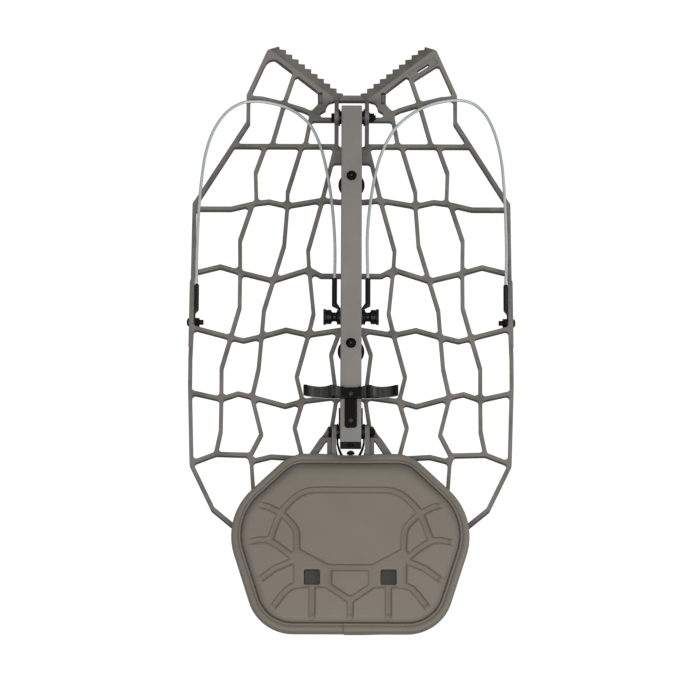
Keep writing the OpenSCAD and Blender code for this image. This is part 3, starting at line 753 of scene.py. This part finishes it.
STITCH_PITCH = 5.0
STITCH_Z = 15.85
STITCH_SLANT = 0.12               # radians off the line of the valley
STITCH_HALF = (1.75, 0.42, 0.42)  # half length, width and height


def make_stitches():
    """A row of thread stitches sunk in the valley along the binding."""
    bm = bmesh.new()
    line = outline - outward * VALLEY
    closed = np.vstack((line, line[:1]))
    run = np.concatenate(([0], np.cumsum(np.linalg.norm(np.diff(closed, axis=0), axis=1))))
    count = round(run[-1] / STITCH_PITCH)
    for s in range(count):
        at = (s + 0.5) * run[-1] / count
        k = int(np.searchsorted(run, at)) - 1
        t = (at - run[k]) / (run[k + 1] - run[k])
        p = closed[k] * (1 - t) + closed[k + 1] * t
        d = closed[k + 1] - closed[k]
        angle = math.atan2(d[1], d[0]) + STITCH_SLANT
        z = BASE_Z + STITCH_Z + lap_rise(p[0], p[1]) - float(front_dip(p[0], p[1]))
        y = p[1] + top_bulge(p[0], p[1], VALLEY)
        place = (Matrix.Translation(Vector((p[0], y, z)) * MM)
                 @ Matrix.Rotation(angle, 4, "Z")
                 @ Matrix.Diagonal((*(half * MM for half in STITCH_HALF), 1)))
        bmesh.ops.create_uvsphere(bm, u_segments=8, v_segments=6, radius=1.0,
                                  matrix=place @ Matrix.Rotation(math.pi / 2, 4, "Y"))
    for face in bm.faces:
        face.smooth = True
    return object_from(bm, "cushion_stitches")


def cloth_material(name, colour, cell=1400.0, depth=0.00010, painted_shade=False):
    """Matte coated fabric with a fine pebbled grain and slow shading changes."""
    material, tree, bsdf = new_material(name)
    place = object_coordinates(tree)
    pebble = node(tree, "TexVoronoi", feature="SMOOTH_F1", in_Scale=cell)
    link(tree, place, pebble.inputs["Vector"])
    fine = noise(tree, place, cell * 1.7, 2.0, 0.6)
    slow = noise(tree, place, 14.0, 3.0)
    gain = math_node(tree, "ADD", remap(tree, fine, 0.3, 0.7, -0.07, 0.07),
                     remap(tree, slow, 0.3, 0.7, -0.035, 0.035))
    factor = remap(tree, gain, -0.2, 0.2)
    base = mix_colour(tree, factor, shade(colour, 0.8), shade(colour, 1.2))
    if painted_shade:
        # painted shade: the colour is darkened by the vertices' shade attribute
        tone = node(tree, "Attribute", attribute_name="shade").outputs["Fac"]
        base = mix_colour(tree, tone, shade(colour, 0.0), base)
    link(tree, base, bsdf.inputs["Base Color"])
    link(tree, remap(tree, fine, 0.3, 0.7, 0.50, 0.62), bsdf.inputs["Roughness"])
    bsdf.inputs["Specular IOR Level"].default_value = 0.35
    bsdf.inputs["Sheen Weight"].default_value = 0.15
    bsdf.inputs["Sheen Roughness"].default_value = 0.45
    height = math_node(tree, "ADD", math_node(tree, "MULTIPLY", pebble.outputs["Distance"], 0.6),
                       math_node(tree, "MULTIPLY", fine, 0.4))
    bump(tree, bsdf, height, depth, 0.8)
    return material


cushion_finish = cloth_material("coated_fabric", CLOTH, painted_shade=True)
cushion = make_cushion()
cushion.data.materials.append(cushion_finish)
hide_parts("seat_cushion")
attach(cushion, "seat")

stitches = make_stitches()
stitches.data.materials.append(cloth_material("thread", CLOTH_DARK, cell=3000.0, depth=0.00005))
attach(stitches, "seat")


# ---------------------------------------------------------------- finishes of the CAD parts

def patch_material():
    """Dark woven pad: two crossed sets of threads."""
    material, tree, bsdf = new_material("woven_pad")
    place = object_coordinates(tree)
    waves = []
    for axis in ("X", "Y"):
        wave = node(tree, "TexWave", wave_type="BANDS", bands_direction=axis, in_Scale=230.0,
                    in_Distortion=0.6, in_Detail=1.0)
        link(tree, place, wave.inputs["Vector"])
        waves.append(wave.outputs["Fac"])
    weave = math_node(tree, "MULTIPLY", waves[0], waves[1])
    link(tree, mix_colour(tree, weave, (0.030, 0.029, 0.027), (0.100, 0.096, 0.088)),
         bsdf.inputs["Base Color"])
    bsdf.inputs["Roughness"].default_value = 0.8
    bump(tree, bsdf, weave, 0.0003, 0.8)
    return material


def direction_mask(tree, axis, low, high):
    """1 on faces whose own normal points along an axis of the part, fading out to 0."""
    split = node(tree, "SeparateXYZ")
    link(tree, node(tree, "TexCoord").outputs["Normal"], split.inputs[0])
    return remap(tree, split.outputs[axis], low, high)


def casting_material():
    """Thin paint on a rough casting: dull ribs with dark smudges, a lighter band on the claw's
    upward faces, and painted shade on the faces that look towards -Y.
    """
    material, tree, bsdf = new_material("painted_casting")
    place = object_coordinates(tree)
    split = node(tree, "SeparateXYZ")
    link(tree, place, split.inputs[0])
    fine = noise(tree, place, 1500.0, 3.0, 0.6)
    smudge = remap(tree, noise(tree, place, 26.0, 4.0, 0.62), 0.44, 0.66)
    flat = direction_mask(tree, "Z", 0.985, 0.998)
    # The band starts where the web ends and the claw begins.
    claw = math_node(tree, "MULTIPLY", flat, remap(tree, split.outputs["Y"], 0.392, 0.404))
    base = mix_colour(tree, math_node(tree, "MULTIPLY", smudge, 0.8), CASTING,
                      shade(CASTING, 0.55))
    base = mix_colour(tree, claw, base, CASTING_BAND)
    base = mix_colour(tree, remap(tree, fine, 0.3, 0.7, 0.0, 0.22), base, shade(CASTING, 0.5))
    # painted shade on the faces that look towards -Y
    front_shade = direction_mask(tree, "Y", -0.35, -0.85)
    base = mix_colour(tree, math_node(tree, "MULTIPLY", front_shade, 0.62), base, CASTING_FRONT_SHADE)
    rounded, edges = edge_mask(tree, 0.0009)
    link(tree, mix_colour(tree, math_node(tree, "MULTIPLY", edges, 0.12), base, CASTING_WEAR),
         bsdf.inputs["Base Color"])
    bsdf.inputs["Roughness"].default_value = 0.58
    bsdf.inputs["Specular IOR Level"].default_value = 0.4
    bump(tree, bsdf, fine, 0.00007, rounding=rounded)
    return material


def bracket_material():
    """Glossy black extrusion with die lines, a painted sheen on the upward faces of its lobes and
    roots, and a painted highlight along the front of its lobes.
    """
    lobe_x, root_x = 0.046, 0.0195
    skin_outer, skin_inner = 0.0032, 0.0024
    material, tree, bsdf = new_material("black_bracket")
    place = object_coordinates(tree)
    split = node(tree, "SeparateXYZ")
    link(tree, place, split.inputs[0])
    along = node(tree, "CombineXYZ")
    link(tree, split.outputs["X"], along.inputs["X"])
    lines = noise(tree, along.outputs[0], 160.0, 3.0, 0.6)
    away = math_node(tree, "ABSOLUTE", split.outputs["X"])
    lobe = remap(tree, math_node(tree, "ABSOLUTE", math_node(tree, "SUBTRACT", away, lobe_x)),
                 0.020, 0.013)
    root = remap(tree, math_node(tree, "ABSOLUTE", math_node(tree, "SUBTRACT", away, root_x)),
                 0.0042, 0.0024)
    # painted sheen: greyer on the upward faces of the lobes and roots, streaked by the die lines
    painted_sheen = math_node(tree, "MULTIPLY", math_node(tree, "MAXIMUM", lobe, root),
                     direction_mask(tree, "Z", 0.2, 0.8))
    streaks = remap(tree, lines, 0.40, 0.68)
    base = mix_colour(tree, streaks, (0.003, 0.003, 0.003), SOFT_BLACK)
    base = mix_colour(tree, painted_sheen, base, mix_colour(tree, streaks, (0.030, 0.029, 0.027),
                                                   (0.085, 0.082, 0.076)))
    # painted highlight on the lobes' front faces
    lobe_highlight = math_node(tree, "MULTIPLY", direction_mask(tree, "Y", -0.80, -0.97),
                    remap(tree, away, 0.0155, 0.018))
    rounded, edges = edge_mask(tree, 0.0008)
    # The painted highlight lies only on the lower skin of each lobe: the part just over the curve
    # of its underside.
    reach = math_node(tree, "MAXIMUM", math_node(tree, "MULTIPLY_ADD", away, 20.0, -0.4), 0.0)
    under = math_node(tree, "MULTIPLY_ADD", math_node(tree, "POWER", reach, 2.2), 0.0135, 0.0593)
    over = math_node(tree, "SUBTRACT", split.outputs["Z"], under)
    lobe_highlight = math_node(tree, "MULTIPLY", lobe_highlight, remap(tree, over, skin_outer, skin_inner))
    base = mix_colour(tree, lobe_highlight, base, RIM_HIGHLIGHT)
    link(tree, mix_colour(tree, math_node(tree, "MULTIPLY", edges, 0.15), base, STEEL_WEAR),
         bsdf.inputs["Base Color"])
    bsdf.inputs["Roughness"].default_value = 0.30
    bsdf.inputs["Specular IOR Level"].default_value = 0.18
    link(tree, rounded, bsdf.inputs["Normal"])
    return material


def screw_material(name, centres, radius, colour):
    """Black screw heads with a painted highlight: a brighter spot round each head's middle."""
    material, tree, bsdf = new_material(name)
    place = object_coordinates(tree)
    split = node(tree, "SeparateXYZ")
    link(tree, place, split.inputs[0])
    across = math_node(tree, "MULTIPLY", split.outputs["X"], split.outputs["X"])
    painted_highlight = None
    for y in centres:
        along = math_node(tree, "SUBTRACT", split.outputs["Y"], y)
        square = math_node(tree, "ADD", across, math_node(tree, "MULTIPLY", along, along))
        here = remap(tree, math_node(tree, "SQRT", square), radius, radius * 0.5)
        painted_highlight = here if painted_highlight is None else math_node(tree, "MAXIMUM", painted_highlight, here)
    grain = noise(tree, place, 1800.0, 2.0, 0.6)
    base = mix_colour(tree, remap(tree, grain, 0.3, 0.7, 0.0, 0.4), BLACK, SOFT_BLACK)
    link(tree, mix_colour(tree, painted_highlight, base, colour), bsdf.inputs["Base Color"])
    bsdf.inputs["Roughness"].default_value = 0.36
    bsdf.inputs["Specular IOR Level"].default_value = 0.04
    rounded, _ = edge_mask(tree, 0.0004)
    bump(tree, bsdf, grain, 0.00003, rounding=rounded)
    return material


FINISHES = {
    "paint": coated("powder_coat", TAUPE, roughness=0.52, wear=(0.42, 0.41, 0.38),
                    wear_amount=0.25),
    "cap_paint": coated("painted_cap", TAUPE, roughness=0.6, grain=2200.0),
    "black_steel": coated("black_steel", BLACK, roughness=0.36, grain=2600.0,
                          grain_depth=0.00003, wear=STEEL_WEAR, wear_amount=0.12, specular=0.14),
    "black_bracket": bracket_material(),
    "lug": coated("black_lug", SOFT_BLACK, roughness=0.42, grain=1800.0,
                  wear=STEEL_WEAR, wear_amount=0.12, specular=0.2),
    "black_plastic": coated("black_plastic", BLACK, roughness=0.38,
                            grain=1600.0, grain_depth=0.00008, specular=0.22),
    "bush": coated("bronze_bush", (0.30, 0.21, 0.10), roughness=0.35, metallic=0.9),
    "bumper": coated("rubber", SOFT_BLACK, roughness=0.75, grain=1800.0),
    "patch": patch_material(),
}
casting = casting_material()
frame_finish = coated("painted_frame", SEAT_FRAME, roughness=0.6, mottle=0.10,
                      wear=(0.30, 0.29, 0.27), wear_amount=0.2)
# Finishes of single nodes, which stand before those of their material slots.
SPECIAL = {
    "platform_casting": casting,
    "seat_frame": frame_finish,
    "button_bolts": screw_material("button_bolt", centres=(0.246, -0.0325), radius=0.0026,
                                   colour=(0.085, 0.083, 0.078)),
    "bracket_screws": screw_material("bracket_screw", centres=(-0.118, -0.159), radius=0.0042,
                                     colour=(0.070, 0.068, 0.064)),
}
slots = {s["node"]: s["material_slot"] for s in frame["record"]["subparts"]}
for name, obj in nodes.items():
    finish = SPECIAL.get(name, FINISHES.get(slots.get(name)))
    if finish is not None:
        obj.data.materials.clear()
        obj.data.materials.append(finish)


# ---------------------------------------------------------------- spacers, in millimetres

PIN_Z = 43.0
BORE = 4.4                        # radius of the hole for the pin
CHAMFER_X, CHAMFER_R = 0.06, 0.12
TURNS = 56
# Each pin's pieces: name, body, the pin's Y, and spans of (x0, x1, radius), repeated in -X.
SPACERS = (
    ("knob_spacers", "post", 16.0, [(18.57, 18.96, 10.8)]),
    ("seat_pin_spacers", "seat_hinge", -171.0, [(18.48, 18.72, 10.8), (21.53, 21.77, 11.0)]),
    ("fold_pin_spacers", "platform", 352.0, [(16.28, 16.52, 10.0)]),
)


def make_spacers(name, y, z, spans):
    """Thin round spacers on a pin along X, on both sides."""
    bm = bmesh.new()
    for x0, x1, radius in spans:
        section = [(x0, BORE), (x0, radius - CHAMFER_R), (x0 + CHAMFER_X, radius),
                   (x1 - CHAMFER_X, radius), (x1, radius - CHAMFER_R), (x1, BORE)]
        for side in (-1, 1):
            rings = []
            for k in range(TURNS):
                a = math.tau * k / TURNS
                rings.append([bm.verts.new((side * x * MM, (y + r * math.cos(a)) * MM,
                                            (z + r * math.sin(a)) * MM)) for x, r in section])
            for k in range(TURNS):
                here, there = rings[k], rings[(k + 1) % TURNS]
                for j in range(len(section)):
                    n = (j + 1) % len(section)
                    bm.faces.new((here[j], here[n], there[n], there[j]))
    bmesh.ops.recalc_face_normals(bm, faces=bm.faces)
    return object_from(bm, name)


for name, body, y, spans in SPACERS:
    spacers = make_spacers(name, y, PIN_Z, spans)
    spacers.data.materials.append(FINISHES["lug"])
    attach(spacers, body)


# ---------------------------------------------------------------- floor and light

FLOOR_RADIUS = 16.0
FLOOR_GAP = 0.0005
DOME_RADIUS = 15.5
WORLD_STRENGTH = 0.28


def emission_mix(name, strength, diffuse, share):
    """A pale surface that is partly lit by the lights and partly bright by itself."""
    material, tree, bsdf = new_material(name)
    tree.nodes.remove(bsdf)
    glow = node(tree, "Emission", in_Color=(1, 1, 1, 1), in_Strength=strength)
    matte = node(tree, "BsdfDiffuse", in_Color=(diffuse, diffuse, diffuse, 1))
    mixed = node(tree, "MixShader", in_Fac=share)
    link(tree, glow.outputs[0], mixed.inputs[1])
    link(tree, matte.outputs[0], mixed.inputs[2])
    link(tree, mixed.outputs[0], tree.nodes["Material Output"].inputs["Surface"])
    return material


def stage_piece(name, build, material):
    """A floor or backdrop that the camera sees and the light doesn't."""
    bm = bmesh.new()
    build(bm)
    obj = object_from(bm, name)
    obj.data.materials.append(material)
    for flag in ("visible_diffuse", "visible_glossy", "visible_transmission", "visible_shadow"):
        setattr(obj, flag, False)
    return obj


def floor_shape(bm):
    """A disc just under the object's lowest point."""
    bmesh.ops.create_circle(bm, cap_ends=True, segments=96, radius=FLOOR_RADIUS,
                            matrix=Matrix.Translation((0, 0, -FLOOR_GAP)))


def dome_shape(bm):
    bmesh.ops.create_uvsphere(bm, u_segments=64, v_segments=32, radius=DOME_RADIUS)


stage_piece("floor", floor_shape,
            emission_mix("pale_floor", strength=1.12, diffuse=0.9, share=0.12))
stage_piece("backdrop", dome_shape,
            emission_mix("pale_backdrop", strength=1.0, diffuse=0.9, share=0.0))


def area_light(name, place, aim, size, power, colour):
    data = bpy.data.lights.new(name, "AREA")
    data.shape = "RECTANGLE"
    data.size, data.size_y = size
    data.energy = power
    data.color = colour
    obj = bpy.data.objects.new(name, data)
    scene.collection.objects.link(obj)
    obj.location = place
    obj.rotation_euler = (Vector(aim) - Vector(place)).to_track_quat("-Z", "Y").to_euler()
    return obj


area_light("key", place=(-0.2, -1.3, 3.0), aim=(0, -0.05, 0), size=(2.2, 2.2), power=67.0,
           colour=(1.0, 0.995, 0.985))
area_light("right_strip", place=(2.3, -0.1, 1.1), aim=(0.1, -0.2, 0.05), size=(2.0, 0.5),
           power=20.0, colour=(0.90, 0.96, 1.0))

world = bpy.data.worlds.new("studio")
world.use_nodes = True
world.node_tree.nodes["Background"].inputs["Color"].default_value = (1, 1, 1, 1)
world.node_tree.nodes["Background"].inputs["Strength"].default_value = WORLD_STRENGTH
scene.world = world
